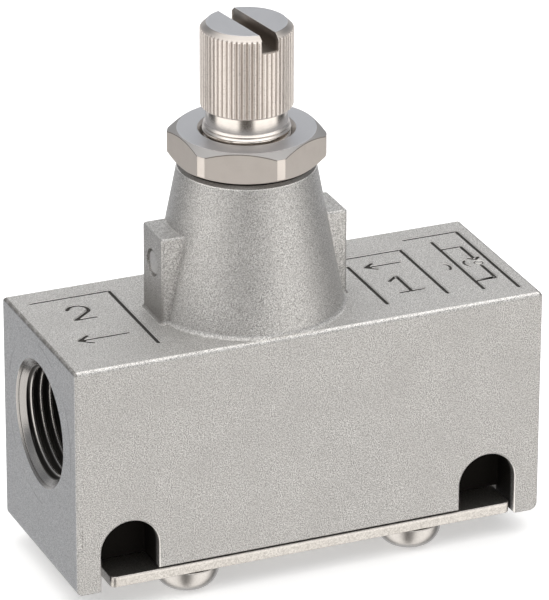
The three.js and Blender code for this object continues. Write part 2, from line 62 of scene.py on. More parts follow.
towards = Vector((
    math.sin(view_turn) * math.cos(view_rise),
    -math.cos(view_turn) * math.cos(view_rise),
    math.sin(view_rise),
))
level = (-towards).cross(Vector((0, 0, 1))).normalized()
upright = level.cross(-towards)
right = math.cos(view_roll) * level + math.sin(view_roll) * upright
up = math.cos(view_roll) * upright - math.sin(view_roll) * level
camera = bpy.data.objects.new("camera", bpy.data.cameras.new("camera"))
bpy.context.scene.collection.objects.link(camera)
camera.matrix_world = Matrix.Translation(view_aim + towards * view_distance) @ Matrix((
    (right.x, up.x, towards.x),
    (right.y, up.y, towards.y),
    (right.z, up.z, towards.z),
)).to_4x4()
camera.data.lens = 306.4
camera.data.sensor_width = 36
camera.data.clip_start = 0.01
bpy.context.scene.camera = camera
bpy.context.scene.view_settings.view_transform = "Standard"


# ---- Studio ----
# A pale floor inside a light tent: two tall soft boxes in front with a dark gap between them,
# a broad soft box overhead and a cool, dimmer cloth behind.


class Signal:
    """A node's output, whose arithmetic adds Math nodes."""

    def __init__(self, graph, socket):
        self.graph = graph
        self.socket = socket

    def math(self, operation, *others):
        values = dict(enumerate((self, *others)))
        return self.graph.node("ShaderNodeMath", {"operation": operation}, values)

    def __add__(self, other):
        return self.math("ADD", other)

    def __mul__(self, other):
        return self.math("MULTIPLY", other)

    def __sub__(self, other):
        return self.math("SUBTRACT", other)

    def __rsub__(self, other):
        return self.graph.node("ShaderNodeMath", {"operation": "SUBTRACT"}, {0: other, 1: self})

    def __truediv__(self, other):
        return self.math("DIVIDE", other)

    def __abs__(self):
        return self.math("ABSOLUTE")

    __radd__ = __add__
    __rmul__ = __mul__

    def rise(self, low, high):
        """0 below low and 1 above high, with a smooth step between; high below low turns it round."""
        values = {"Value": self, "From Min": low, "From Max": high}
        return self.graph.node("ShaderNodeMapRange", {"interpolation_type": "SMOOTHSTEP"}, values)


class Graph:
    """A node tree that is written from empty."""

    def __init__(self, tree):
        self.tree = tree
        tree.nodes.clear()

    def node(self, kind, settings=None, values=None, output=0):
        """Adds a node, makes its settings, then sets or links its inputs, and gives an output."""
        made = self.tree.nodes.new(kind)
        for name, setting in (settings or {}).items():
            if name == "stops":
                self.set_stops(made.color_ramp, setting)
            else:
                setattr(made, name, setting)
        for name, value in (values or {}).items():
            if isinstance(value, Signal):
                self.tree.links.new(value.socket, made.inputs[name])
            else:
                made.inputs[name].default_value = value
        return Signal(self, made.outputs[output]) if len(made.outputs) else None

    def set_stops(self, ramp, stops):
        """A ramp starts with two stops, which are moved, and the others are added."""
        while len(ramp.elements) < len(stops):
            ramp.elements.new(1.0)
        for element, (position, colour) in zip(ramp.elements, stops):
            element.position = position
            element.color = (*colour, 1)

    def parts(self, vector):
        """The three numbers of a vector."""
        split = self.node("ShaderNodeSeparateXYZ", {}, {0: vector})
        return [Signal(self, socket) for socket in split.socket.node.outputs]

    def vector(self, x, y, z):
        return self.node("ShaderNodeCombineXYZ", {}, {0: x, 1: y, 2: z})

    def dot(self, vector, fixed):
        settings = {"operation": "DOT_PRODUCT"}
        return self.node("ShaderNodeVectorMath", settings, {0: vector, 1: fixed}, "Value")

    def mixed(self, share, first, second, blend="MIX"):
        """first where share is 0, second where it is 1, as colours."""
        settings = {"data_type": "RGBA", "blend_type": blend}
        opaque = [c if isinstance(c, Signal) else (*c, 1) for c in (first, second)]
        return self.node("ShaderNodeMix", settings, {0: share, 6: opaque[0], 7: opaque[1]}, 2)


world = bpy.data.worlds.new("light_tent")
world.use_nodes = True
bpy.context.scene.world = world
tent = Graph(world.node_tree)
looking = tent.node("ShaderNodeTexCoord", output="Generated")
front = (math.sin(view_turn), -math.cos(view_turn), 0)
side = (math.cos(view_turn), math.sin(view_turn), 0)
bearing = abs(tent.dot(looking, side).math("ARCTAN2", tent.dot(looking, front))) / math.pi
climb = tent.parts(looking)[2]
walls = tent.node("ShaderNodeValToRGB", {"stops": [
    (0.00, (0.12, 0.11, 0.10)),
    (0.085, (0.20, 0.19, 0.18)),
    (0.14, (1.66, 1.62, 1.57)),
    (0.49, (1.66, 1.62, 1.57)),
    (0.56, (0.12, 0.12, 0.12)),
    (0.70, (0.14, 0.14, 0.14)),
    (0.76, (0.84, 0.84, 0.85)),
    (1.00, (0.66, 0.67, 0.69)),
]}, {0: bearing})
roof = tent.node("ShaderNodeValToRGB", {"stops": [
    (0.00, (0.42, 0.43, 0.45)),
    (0.35, (0.32, 0.33, 0.35)),
    (0.60, (0.44, 0.45, 0.46)),
    (0.78, (1.90, 1.88, 1.85)),
    (1.00, (1.90, 1.88, 1.85)),
]}, {0: climb})
shade = tent.mixed(climb.rise(0.0, 0.30), walls, roof)
glow = tent.node("ShaderNodeBackground", {}, {"Color": shade, "Strength": 1.0})
tent.node("ShaderNodeOutputWorld", {}, {"Surface": glow})

floor_mesh = bpy.data.meshes.new("floor")
floor_half = 6.0
floor_mesh.from_pydata(
    [(x * floor_half, y * floor_half, 0) for x, y in ((-1, -1), (1, -1), (1, 1), (-1, 1))],
    [], [(0, 1, 2, 3)])
floor = bpy.data.objects.new("floor", floor_mesh)
bpy.context.scene.collection.objects.link(floor)
floor.visible_glossy = False
paper = bpy.data.materials.new("pale_paper")
paper.use_nodes = True
paper_shader = paper.node_tree.nodes["Principled BSDF"]
paper_shader.inputs["Base Color"].default_value = (0.86, 0.86, 0.86, 1)
paper_shader.inputs["Roughness"].default_value = 0.9
paper_shader.inputs["Emission Color"].default_value = (1, 1, 1, 1)
paper_shader.inputs["Emission Strength"].default_value = 0.35
floor_mesh.materials.append(paper)


# ---- Valve body ----
# One aluminium casting, shot-blasted all over: the block, the conical tower and its two ribs.
# The end faces, ports, bores and the tower's top are machined, and port marks are engraved.

mm = 0.001


def place(node):
    """A CAD node's lowest and highest corner, in millimetres."""
    return [np.array(corner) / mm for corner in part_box(node)]


def rounded(corners, closed=True, inset=0.0, steps=6):
    """Outline through corners (u, v, radius), each one turned into an arc of its radius.

    Edge k runs from corner k to the next and first moves inwards by its inset, so a corner goes to
    where its two moved edges cross. The arc's centre is one radius off the arriving edge, and its
    spoke turns by the angle between the edges. Outlines run anticlockwise. An outer corner's
    radius shrinks by the inset and an inner corner's grows by it.
    """
    corners = np.asarray(corners, float)
    at = corners[:, :2]
    radius = corners[:, 2]
    leaving = np.roll(at, -1, 0) - at
    leaving /= np.linalg.norm(leaving, axis=1, keepdims=True)
    arriving = np.roll(leaving, 1, 0)
    if not closed:
        leaving[-1] = arriving[-1]
        arriving[0] = leaving[0]
    crossing = arriving[:, 0] * leaving[:, 1] - arriving[:, 1] * leaving[:, 0]
    turn = np.arctan2(crossing, (arriving * leaving).sum(1))
    left_in = np.stack([-arriving[:, 1], arriving[:, 0]], 1)
    left_out = np.stack([-leaving[:, 1], leaving[:, 0]], 1)
    inset = np.broadcast_to(np.asarray(inset, float), len(at))
    if np.any(inset):
        before = np.roll(inset, 1)
        sides = np.stack([left_in, left_out], 1)
        at = at + np.linalg.solve(sides, np.stack([before, inset], 1)[..., None])[..., 0]
        radius = np.maximum(radius - np.sign(turn) * (before + inset) / 2, 0)
    bend = (np.sign(turn) * radius)[:, None]
    centre = at - arriving * (radius * np.tan(np.abs(turn) / 2))[:, None] + left_in * bend
    spoke = -left_in * bend
    sweep = turn[:, None] * np.linspace(0, 1, steps + 1)
    cos, sin = np.cos(sweep), np.sin(sweep)
    arc_u = spoke[:, :1] * cos - spoke[:, 1:] * sin
    arc_v = spoke[:, :1] * sin + spoke[:, 1:] * cos
    return (np.stack([arc_u, arc_v], -1) + centre[:, None]).reshape(-1, 2)


def rim(face, inwards, radius, steps=7):
    """Rows (place, inset) that round the edges at a face: at depth d the inset is
    r - sqrt(r^2 - (r - d)^2). A negative radius flares a cutting tool out at its mouth."""
    radius = np.asarray(radius, float)
    size = np.abs(radius)
    rows = []
    for depth in size.max() * (1 - np.cos(np.linspace(0, math.pi / 2, steps + 1))):
        left = size - np.minimum(depth, size)
        inset = np.sign(radius) * (size - np.sqrt(size**2 - left**2))
        rows.append((face + inwards * depth, inset))
    return rows


def box_outline(low_u, low_v, high_u, high_v, radius=0.0):
    """A rectangle's corners for rounded(), anticlockwise."""
    places = ((low_u, low_v), (high_u, low_v), (high_u, high_v), (low_u, high_v))
    return [(u, v, radius) for u, v in places]


def slab(corners, rows, along, steps=6):
    """A closed outline carried along an axis: each row (place, inset) is the outline, moved
    inwards by the inset, at that place. The first column is repeated as the last."""
    outlines = np.stack([rounded(corners, inset=inset, steps=steps) for _, inset in rows])
    outlines = np.concatenate([outlines, outlines[:, :1]], 1)
    depth = np.broadcast_to(np.array([row[0] for row in rows])[:, None], outlines.shape[:2])
    u, v = outlines[..., 0], outlines[..., 1]
    order = {"x": (depth, u, v), "y": (u, depth, v), "z": (u, v, depth)}
    return np.stack(order[along], -1)


def lathe(corners, centre=(0, 0), closed=False, sides=96, steps=5):
    """A profile of (radius, height, corner radius) turned round an upright axis: the point at
    angle t is (centre + radius cos t, centre + radius sin t, height)."""
    profile = rounded(corners, closed, steps=steps)
    if closed:
        profile = np.vstack([profile, profile[:1]])
    turn = np.linspace(0, 2 * math.pi, sides + 1)[None]
    radius = profile[:, :1]
    height = np.broadcast_to(profile[:, 1:], (len(profile), sides + 1))
    return np.stack([
        centre[0] + radius * np.cos(turn), centre[1] + radius * np.sin(turn), height], -1)


def thread(bottom, top, root, depth, pitch, centre=(0, 0), sides=72, per=12):
    """A helical ridge on a cylinder. Row i lies i/per turns along and climbs one pitch a turn,
    cut off at the two ends. The ridge is a smoothed triangle wave of the row, and it fades out
    over half a pitch at both ends, so rows past an end fall on the end's circle."""
    rows = int(math.ceil((top - bottom) / pitch + 1)) * per
    row = np.arange(rows + 1)[:, None] / per
    turn = np.linspace(0, 1, sides + 1)[None]
    height = np.clip(bottom + pitch * (row + turn - 1), bottom, top)
    wave = np.clip((1 - np.abs(2 * (row % 1) - 1) - 0.12) / 0.76, 0, 1)
    wave = wave**2 * (3 - 2 * wave)
    near = np.minimum(height - bottom, top - height)
    radius = root + depth * wave * np.clip(2 * near / pitch, 0, 1)
    angle = 2 * math.pi * turn
    return np.stack([
        centre[0] + radius * np.cos(angle), centre[1] + radius * np.sin(angle), height], -1)


def lay(grid, side, height):
    """An upright turned grid laid along X at a height, pointing to that side."""
    return np.stack([side * grid[..., 2], grid[..., 0], height + grid[..., 1]], -1)


def rod(start, end, radius, sides=64):
    """A round bar: a circle in the plane across the line from start to end."""
    start, end = np.array(start, float), np.array(end, float)
    axis = (end - start) / np.linalg.norm(end - start)
    across = np.cross(axis, (0, 1, 0) if abs(axis[1]) < 0.9 else (1, 0, 0))
    across /= np.linalg.norm(across)
    turn = np.linspace(0, 2 * math.pi, sides + 1)[:, None]
    circle = radius * (np.cos(turn) * across + np.sin(turn) * np.cross(axis, across))
    return np.stack([start + circle, end + circle])


def skin(name, *grids):
    """Grids of points in millimetres as one closed mesh in metres: neighbours in a grid make a
    quad, points that coincide are merged, open ends are capped, and faces turn outwards."""
    points = np.concatenate([grid.reshape(-1, 3) for grid in grids]) * mm
    quads = []
    start = 0
    for grid in grids:
        count = grid.shape[0] * grid.shape[1]
        index = start + np.arange(count).reshape(grid.shape[:2])
        corners = (index[:-1, :-1], index[1:, :-1], index[1:, 1:], index[:-1, 1:])
        quads.append(np.stack(corners, -1).reshape(-1, 4))
        start += count
    mesh = bpy.data.meshes.new(name)
    mesh.from_pydata(points.tolist(), [], np.concatenate(quads).tolist())
    work = bmesh.new()
    work.from_mesh(mesh)
    bmesh.ops.remove_doubles(work, verts=work.verts, dist=4e-7)
    bmesh.ops.dissolve_degenerate(work, edges=work.edges, dist=1e-8)
    bmesh.ops.holes_fill(work, edges=[e for e in work.edges if e.is_boundary], sides=0)
    bmesh.ops.recalc_face_normals(work, faces=work.faces)
    work.to_mesh(mesh)
    work.free()
    made = bpy.data.objects.new(name, mesh)
    bpy.context.scene.collection.objects.link(made)
    return made


def worked(solid, how, *tools):
    """Cuts the tools from a solid, joins them to it or keeps what they share, then drops them."""
    for tool in tools:
        step = solid.modifiers.new(tool.name, "BOOLEAN")
        step.operation = how
        step.solver = "MANIFOLD"
        step.object = tool
    seen = solid.evaluated_get(bpy.context.evaluated_depsgraph_get())
    mesh = bpy.data.meshes.new_from_object(seen)
    mesh.materials.clear()
    solid.modifiers.clear()
    solid.data = mesh
    for tool in tools:
        bpy.data.objects.remove(tool)
    return solid


def smooth(solid, angle=32):
    """Smooth faces with sharp edges past an angle; big faces keep their own normals."""
    solid.data.shade_smooth()
    solid.data.set_sharp_from_angle(angle=math.radians(angle))
    weight = solid.modifiers.new("weighted_normals", "WEIGHTED_NORMAL")
    weight.keep_sharp = True
    weight.weight = 100
    return solid


class Finish(Graph):
    """A piece's surface: its place in millimetres feeds patterns, which feed one shader."""

    def __init__(self, name):
        self.material = bpy.data.materials.new(name)
        self.material.use_nodes = True
        super().__init__(self.material.node_tree)
        metres = self.node("ShaderNodeTexCoord", output="Object")
        values = {0: metres, "Scale": 1 / mm}
        self.place = self.node("ShaderNodeVectorMath", {"operation": "SCALE"}, values)
        self.x, self.y, self.z = self.parts(self.place)

    def noise(self, size, detail=2.0, rough=0.5, at=None):
        """Noise from 0 to 1 whose blots are about size millimetres across."""
        values = {"Vector": at or self.place, "Scale": 1 / size, "Detail": detail, "Roughness": rough}
        return self.node("ShaderNodeTexNoise", {}, values)

    def away(self, first, second, u=0.0, v=0.0):
        """Distance from the point (u, v) in the plane of two coordinates."""
        du, dv = first - u, second - v
        return (du * du + dv * dv).math("SQRT")

    def surface(self, colour, roughness, metallic, height=None, depth=0.0):
        """The shader; height is a pattern from 0 to 1 whose relief is depth millimetres."""
        values = {"Base Color": colour, "Roughness": roughness, "Metallic": metallic}
        if height is not None:
            bump = {"Height": height, "Strength": 1.0, "Distance": depth * mm}
            values["Normal"] = self.node("ShaderNodeBump", {}, bump)
        shader = self.node("ShaderNodeBsdfPrincipled", {}, values)
        self.node("ShaderNodeOutputMaterial", {}, {"Surface": shader})
        return self.material


body_low, body_high = place("valve_body")
gasket_low, gasket_high = place("cover_gasket")
washer_low, washer_high = place("nut_washer")
pin_low, pin_high = place("outlet_guide_pin")
seat_gap = 0.04
leg_bottom = body_low[2]
underside = gasket_high[2] + seat_gap
block_top = underside + 30.75
tower_top = body_high[2]
half_length = body_high[0]
half_width = body_high[1]
axis_x = (washer_low[0] + washer_high[0]) / 2
axis = (axis_x, 0)
port_axis = underside + 17.62
pin_axis = (pin_low[2] + pin_high[2]) / 2
recess_half = half_length - 3.55
end_edge = 0.5
top_edge = 0.65
plain_edge = 0.25

block_corners = [
    (-half_length, block_top, end_edge),
    (-half_length, leg_bottom, 0.9),
    (-recess_half, leg_bottom, 0.3),
    (-recess_half, underside, 0.3),
    (recess_half, underside, 0.3),
    (recess_half, leg_bottom, 0.3),
    (half_length, leg_bottom, 1.1),
    (half_length, block_top, end_edge),
]
block_edges = [plain_edge] * 7 + [top_edge]
block_rows = rim(-half_width, 1, block_edges) + rim(half_width, -1, block_edges)[::-1]
casting = skin("body_casting", slab(block_corners, block_rows, "y"))

cone_foot = 13.2
cone_top = block_top + 19.9
cone_edge = 9.4
cone_neck = 9.0
foot_flare = 0.8
root_depth = 0.02
tower = skin("tower", lathe([
    (0, block_top - 2, 0),
    (cone_foot - 0.6, block_top - 0.6, 0),
    (cone_foot + foot_flare + 0.3, block_top - root_depth, 0),
    (cone_foot, block_top - root_depth, foot_flare),
    (cone_edge, cone_top, 0.12),
    (cone_neck, tower_top, 0.12),
    (0, tower_top, 0),
], axis, sides=192, steps=8))
trim_corners = box_outline(-half_length, -cone_foot, half_length, cone_foot)
trim = skin("trim", slab(trim_corners, [(0, 0), (tower_top + 5, 0)], "z"))
worked(tower, "INTERSECT", trim)

rib_half = 3.5
rib_top = block_top + 12.3
outlet_reach = 13.65
inlet_reach = 13.3
rib_edge = 0.35
rib_corners = box_outline(axis_x - outlet_reach, -rib_half, axis_x + inlet_reach, rib_half, 0.5)
rib_rows = [(block_top - 0.8, 0.4)]
rib_rows += rim(block_top - root_depth, 1, -0.55)
rib_rows += rim(rib_top, -1, rib_edge)[::-1]
ribs = skin("ribs", slab(rib_corners, rib_rows, "z"))
worked(casting, "UNION", tower, ribs)

arch_radius = 4.15
arch_height = 9.8
arch_depth = 5.4
pockets = []
for end in (-1, 1):
    middle = end * (recess_half - arch_radius)
    crown = leg_bottom + arch_height
    arch_corners = [
        (middle - arch_radius, leg_bottom - 1, 0), (middle + arch_radius, leg_bottom - 1, 0),
        (middle + arch_radius, crown, arch_radius), (middle - arch_radius, crown, arch_radius)]
    for face in (-1, 1):
        mouth = face * half_width
        rows = [(mouth + face, -0.3)] + rim(mouth, -face, -0.3)
        rows += rim(mouth - face * arch_depth, face, 0.4)[::-1]
        pockets.append(skin("pocket", slab(arch_corners, rows, "y", steps=20)))
worked(casting, "DIFFERENCE", *pockets)

chamber_radius = 9.0
upper_radius = 7.0
bush_bore = 5.7
stem_bore = 4.3
thread_bore = 6.1
thread_mouth = 6.7
screw_pitch = 1.0
chamber_top = underside + 14.1
upper_top = chamber_top + 14.0
bush_shelf = upper_top + 7.04
thread_bottom = upper_top + 13.9
bores = skin("bores", lathe([
    (0, underside - 3, 0),
    (chamber_radius, underside - 3, 0),
    (chamber_radius, chamber_top, 0.2),
    (upper_radius, chamber_top, 0.1),
    (upper_radius, upper_top, 0.3),
    (bush_bore, upper_top, 0),
    (bush_bore, bush_shelf, 0),
    (stem_bore, bush_shelf, 0),
    (stem_bore, thread_bottom, 0),
    (thread_bore, thread_bottom, 0),
    (thread_bore, tower_top - 0.6, 0),
    (thread_mouth, tower_top, 0),
    (thread_mouth, tower_top + 1, 0),
    (0, tower_top + 1, 0),
], axis))
inner_thread = thread(
    thread_bottom + 0.5, tower_top - 0.1, thread_bore - 0.02, 0.35, screw_pitch, axis)
worked(casting, "DIFFERENCE", bores, skin("screw_thread", inner_thread))

port_pitch = 1.337
port_minor = 7.475
port_step = 8.62
port_mouth = 8.95
port_depth = 12
thread_start = half_length - 1.5
for end in (-1, 1):
    hole = lathe([
        (0, half_length - port_depth - 4.3, 0),
        (port_minor, half_length - port_depth, 0.1),
        (port_minor, thread_start, 0),
        (8.45, half_length - 0.42, 0),
        (port_step, half_length - 0.34, 0),
        (port_step, half_length - 0.26, 0),
        (port_mouth, half_length, 0),
        (port_mouth, half_length + 1, 0),
        (0, half_length + 1, 0),
    ])
    turns = thread(
        half_length - port_depth + 0.8, thread_start + 0.7, port_minor - 0.02, 0.86,
        port_pitch, sides=120, per=14)
    worked(casting, "DIFFERENCE",
           skin("port_hole", lay(hole, end, port_axis)),
           skin("port_thread", lay(turns, end, port_axis)))

outlet_height = port_axis + 1.6
pin_bore = 1.92
pin_bore_start = 2.8
screw_bore = 2.62
screw_bore_top = 14.49
screw_places = {
    "front_left": (-16.5, -9), "front_right": (16.5, -9),
    "rear_left": (-16.5, 9), "rear_right": (16.5, 9)}
passages = [
    rod((1 - half_length + port_depth, 0, outlet_height), (axis_x, 0, outlet_height), 4.5),
    rod((half_length - port_depth + 1, 0, port_axis - 2.5), (axis_x + 2.9, 0, underside + 4.6), 3.8),
]
for end, pin_reach in ((-1, outlet_reach), (1, inlet_reach)):
    start, stop = (axis_x + end * reach for reach in (pin_bore_start, pin_reach + 1))
    passages.append(rod((start, 0, pin_axis), (stop, 0, pin_axis), pin_bore))
for x, y in screw_places.values():
    passages.append(rod((x, y, underside - 1), (x, y, screw_bore_top), screw_bore, 32))
worked(casting, "DIFFERENCE", *[skin("passage", grid) for grid in passages])


def groove(path, closed=False, radius=0.34, sides=20):
    """A round-ended tube along a flat path just above the block's top: circles across the path,
    which at each end shrink as r sin a while they run on by r cos a. It cuts a round-bottomed
    groove."""
    line = rounded([(u, v, 0.1) for u, v in path], closed, steps=2)
    if closed:
        line = np.vstack([line, line[:1]])
    keep = np.append(True, np.linalg.norm(np.diff(line, axis=0), axis=1) > 1e-6)
    line = line[keep]
    way = np.gradient(line, axis=0)
    if closed:
        way[0] = way[-1] = line[1] - line[-2]
    way /= np.linalg.norm(way, axis=1, keepdims=True)
    size = np.full(len(line), radius)
    if not closed:
        swing = np.linspace(0.02, math.pi / 2, 6)[:-1]
        before = line[0] - radius * np.cos(swing)[:, None] * way[0]
        after = line[-1] + radius * np.cos(swing[::-1])[:, None] * way[-1]
        line = np.vstack([before, line, after])
        way = np.vstack([np.tile(way[0], (5, 1)), way, np.tile(way[-1], (5, 1))])
        size = np.concatenate([radius * np.sin(swing), size, radius * np.sin(swing[::-1])])
    turn = np.linspace(0, 2 * math.pi, sides + 1)[None]
    out = size[:, None] * np.cos(turn)
    x = line[:, :1] - way[:, 1:] * out
    y = line[:, 1:] + way[:, :1] * out
    z = block_top + 0.1 + size[:, None] * np.sin(turn)
    return skin("groove", np.stack([x, y, z], -1))


def arrow(tail, tip, head=1.3):
    """A shaft and two barbs, from tail to tip."""
    tail, tip = np.array(tail, float), np.array(tip, float)
    way = (tip - tail) / np.linalg.norm(tip - tail)
    across = np.array([-way[1], way[0]])
    barbs = [tip - way * head + across * head * s for s in (-0.75, 0.75)]
    return [[tail, tip], [barbs[0], tip, barbs[1]]]


def arc(centre, radius, start, end, count=9):
    """Points on a circle from one angle to another, in degrees."""
    angle = np.radians(np.linspace(start, end, count))
    return list(np.stack([centre[0] + radius * np.cos(angle), centre[1] + radius * np.sin(angle)], 1))


frames = [
    [(-31.3, 9.75), (-20.05, 9.75), (-20.05, -8.4)],
    [(13.1, 7.1), (22.08, 7.1), (22.08, -8.6)],
    [(13.07, 4.5), (13.07, -8.7)],
    [(23.9, 9.9), (31.9, 9.9), (31.9, -10.4)],
]
port_two = [arc((-26.2, 5.4), 1.45, 160, -30) + [(-27.65, 2.5)], [(-27.65, 2.5), (-24.7, 2.5)]]
port_one = [[(16.4, -2.0), (17.9, -0.7), (17.9, -6.0)], [(16.3, -6.0), (19.6, -6.0)]]
flow = arrow((-22.6, -3.9), (-29.6, -3.9), 1.6) + arrow((20.3, 3.4), (15.2, 3.4), 1.3)
main_line = 27.2
check_line = 30.3
symbol = [
    [(main_line, -9.2), (main_line, 7.8)],
    [(main_line, -6.4), (check_line, -6.4), (check_line, -1.9)],
    [(main_line, 5.0), (check_line, 5.0), (check_line, 0.9)],
    [(check_line - 0.7, 0.85), (check_line, 0.15), (check_line + 0.7, 0.85)],
]
strokes = [groove(path) for path in frames + port_two + port_one + flow + symbol]
strokes.append(groove(arc((check_line, -0.9), 0.62, 0, 330, 12), closed=True, radius=0.24))
for offset, start in ((-2.5, -48), (2.5, 132)):
    bow = arc((main_line + offset, -0.6), 1.4, start, start + 96, 7)
    strokes.append(groove(bow, radius=0.28))
worked(casting, "DIFFERENCE", *strokes)

mark_depth = 0.07
mark_rows = [(-half_width - 1, 0), (-half_width + mark_depth, 0)]
mark = skin("ejector_mark", slab(box_outline(-33.85, 9.9, -33.1, 13.0, 0.1), mark_rows, "y"))
smooth(worked(casting, "DIFFERENCE", mark))


def cast_aluminium():
    """Fine blasted grain, with machined faces and bores; painted shade in the pockets, the thread roots,
    deep in the ports and in the engraving, and on the rounded end edges, the ribs' end faces and the
    tower's shoulder;
    painted highlights along the pockets' rims, the top long edges, the engraving's rims and the tower's
    top rim."""
    made = Finish("cast_aluminium")
    grain = made.noise(0.155, 2.0, 0.6)
    fleck = made.noise(0.11, 1.0)
    cloud = made.noise(6.0, 3.0)
    from_middle = abs(made.x)
    depth = half_length - from_middle
    inwards = half_width - abs(made.y)
    sunk = block_top - made.z
    around = made.away(made.y, made.z, 0, port_axis)
    centre_line = made.away(made.x, made.y, axis_x)

    face = from_middle.rise(half_length - 0.10, half_length - 0.02)
    port = around.rise(9.0, 8.9) * from_middle.rise(15, 16)
    bored = centre_line.rise(chamber_radius + 0.06, chamber_radius)
    bored = bored * made.z.rise(block_top - 2, block_top - 3)
    top = made.z.rise(tower_top - 0.06, tower_top - 0.02) + centre_line.rise(6.9, thread_mouth)
    cut = (port + bored + top.math("MINIMUM", 1.0)).math("MINIMUM", 1.0)
    blasted = made.mixed(grain.rise(0.34, 0.66), (0.32, 0.312, 0.302), (0.76, 0.75, 0.735))
    blasted = made.mixed(fleck.rise(0.60, 0.75) * 0.5, blasted, (0.90, 0.885, 0.865))
    blasted = made.mixed(cloud.rise(0.3, 0.7) * 0.25, blasted, (0.47, 0.46, 0.45))
    scratch = (1 - abs(around - 11.7).rise(0.0, 0.22)) * made.noise(5.0).rise(0.45, 0.6)
    milled = made.mixed(grain.rise(0.3, 0.7), (0.50, 0.505, 0.515), (0.84, 0.845, 0.855))
    milled = made.mixed(scratch * 0.45, milled, (0.30, 0.30, 0.31))
    sweep = made.noise(0.16, 2.0, 0.6, made.vector(around, made.x * 0.3, 0.0))
    bright = made.mixed(sweep, (0.42, 0.40, 0.38), (0.66, 0.64, 0.62))
    bright = made.mixed(port * depth.rise(1.6, 1.4) * 0.55, bright, (0.17, 0.165, 0.16))
    colour = made.mixed(cut, made.mixed(face, blasted, milled), bright)

    arches = abs(from_middle - recess_half + arch_radius).rise(arch_radius + 0.6, arch_radius + 0.4)
    arches = arches * made.z.rise(crown + 0.5, crown + 0.4)
    arches = arches * inwards.rise(arch_depth + 0.5, arch_depth + 0.3)
    long_edge = inwards.rise(0.55, 0.40) * sunk.rise(0.55, 0.40) * sunk.rise(-0.1, 0.0)
    long_edge = long_edge * depth.rise(0.3, 0.5)
    panel = inwards.rise(0.7, 0.8) * depth.rise(0.5, 0.6)
    shoulder = made.z.rise(cone_top - 0.12, cone_top - 0.02)
    shoulder = shoulder * centre_line.rise(cone_neck - 0.5, cone_neck - 0.3)
    # painted highlight: bright bands along the pockets' rims, the top long edges, the engraving's rims
    # and the tower's top rim
    painted_highlight = arches * inwards.rise(0.02, 0.06) * inwards.rise(0.42, 0.26)
    painted_highlight = painted_highlight + long_edge * grain.rise(0.3, 0.7) * 0.55
    painted_highlight = painted_highlight + panel * sunk.rise(0.01, 0.03) * sunk.rise(0.12, 0.09) * 0.6
    painted_highlight = painted_highlight + shoulder * made.z.rise(cone_top + 0.08, cone_top + 0.02)
    painted_highlight = painted_highlight.math("MINIMUM", 1.0)
    colour = made.mixed(painted_highlight, colour, (0.95, 0.93, 0.90))

    # painted shade: ragged darker rounded top edges at the ends, the ribs' end faces darker towards the
    # bottom, and the tower's shoulder in the nut's shadow
    ragged = 0.55 + 0.45 * made.noise(0.7, 3.0).rise(0.35, 0.60)
    end_round = depth.rise(0.48, 0.36) * sunk.rise(0.48, 0.36) * sunk.rise(-0.1, 0.0) * ragged
    ribs_middle = axis_x + (inlet_reach - outlet_reach) / 2
    ribs_half = (inlet_reach + outlet_reach) / 2
    rib_end = abs(made.x - ribs_middle).rise(ribs_half - 0.35, ribs_half - 0.1)
    rib_end = rib_end * sunk.rise(-0.02, -0.06) * made.z.rise(block_top + 7.5, block_top + 0.5)
    rib_end = rib_end * abs(made.y).rise(4, 3.9)
    painted_edge_shade = end_round * 0.75 + rib_end * 0.6
    painted_edge_shade = painted_edge_shade + shoulder * made.z.rise(cone_top + 0.02, cone_top + 0.08) * 0.8
    colour = made.mixed(painted_edge_shade.math("MINIMUM", 1.0), colour, (0.17, 0.158, 0.145))

    # painted shade: near-black in the arch pockets, the port threads' roots, deep in the ports and in
    # the engraved grooves
    roots = port * around.rise(port_minor + 0.05, port_minor + 0.30) * depth.rise(1.0, 1.2)
    inside = port * depth.rise(1.5, port_depth)
    engraved = panel * sunk.rise(0.09, 0.15) * sunk.rise(0.6, 0.5)
    painted_hollow_shade = (arches * inwards.rise(0.4, 1.6)).math("MAXIMUM", roots * 0.88)
    painted_hollow_shade = painted_hollow_shade.math("MAXIMUM", inside * 0.5).math("MAXIMUM", engraved * 0.92)
    colour = made.mixed(painted_hollow_shade, colour, (0.030, 0.027, 0.024))

    on_tower = made.z.rise(block_top + 0.2, block_top + 0.9)
    rough = 0.53 - 0.12 * on_tower - 0.09 * face - 0.28 * cut
    rough = rough + 0.10 * (grain - 0.5) + 0.25 * painted_hollow_shade - 0.15 * painted_highlight
    relief = (grain + 0.4 * fleck) * (1 - 0.5 * face) * (1 - 0.9 * cut) * (1 - 0.5 * painted_highlight)
    return made.surface(colour, rough, 0.95, relief + sweep * cut * 0.08, 0.075)


casting.data.materials.append(cast_aluminium())
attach(casting, "housing")
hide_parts("valve_body")


# ---- Throttle screw ----
# Turned brass, nickel plated: a straight-knurled head with a screwdriver slot, a plain neck and
# an M12x1 shank, whose socket holds the needle's collar.

knob_low, knob_high = place("adjusting_knob")
nut_low, nut_high = place("lock_nut")
knob_top = knob_high[2]
shank_bottom = knob_low[2]
shank_top = nut_high[2] + 0.7
knurl_bottom = shank_top + 2.5
knurl_top = knurl_bottom + 11.0
knob_radius = 6.25
knurl_teeth = 56
knurl_depth = 0.24
head_radius = 5.4
slot_turn = math.radians(98)
slot_half = 1.2
slot_depth = 2.45
neck_radius = 5.5
core_radius = 5.4


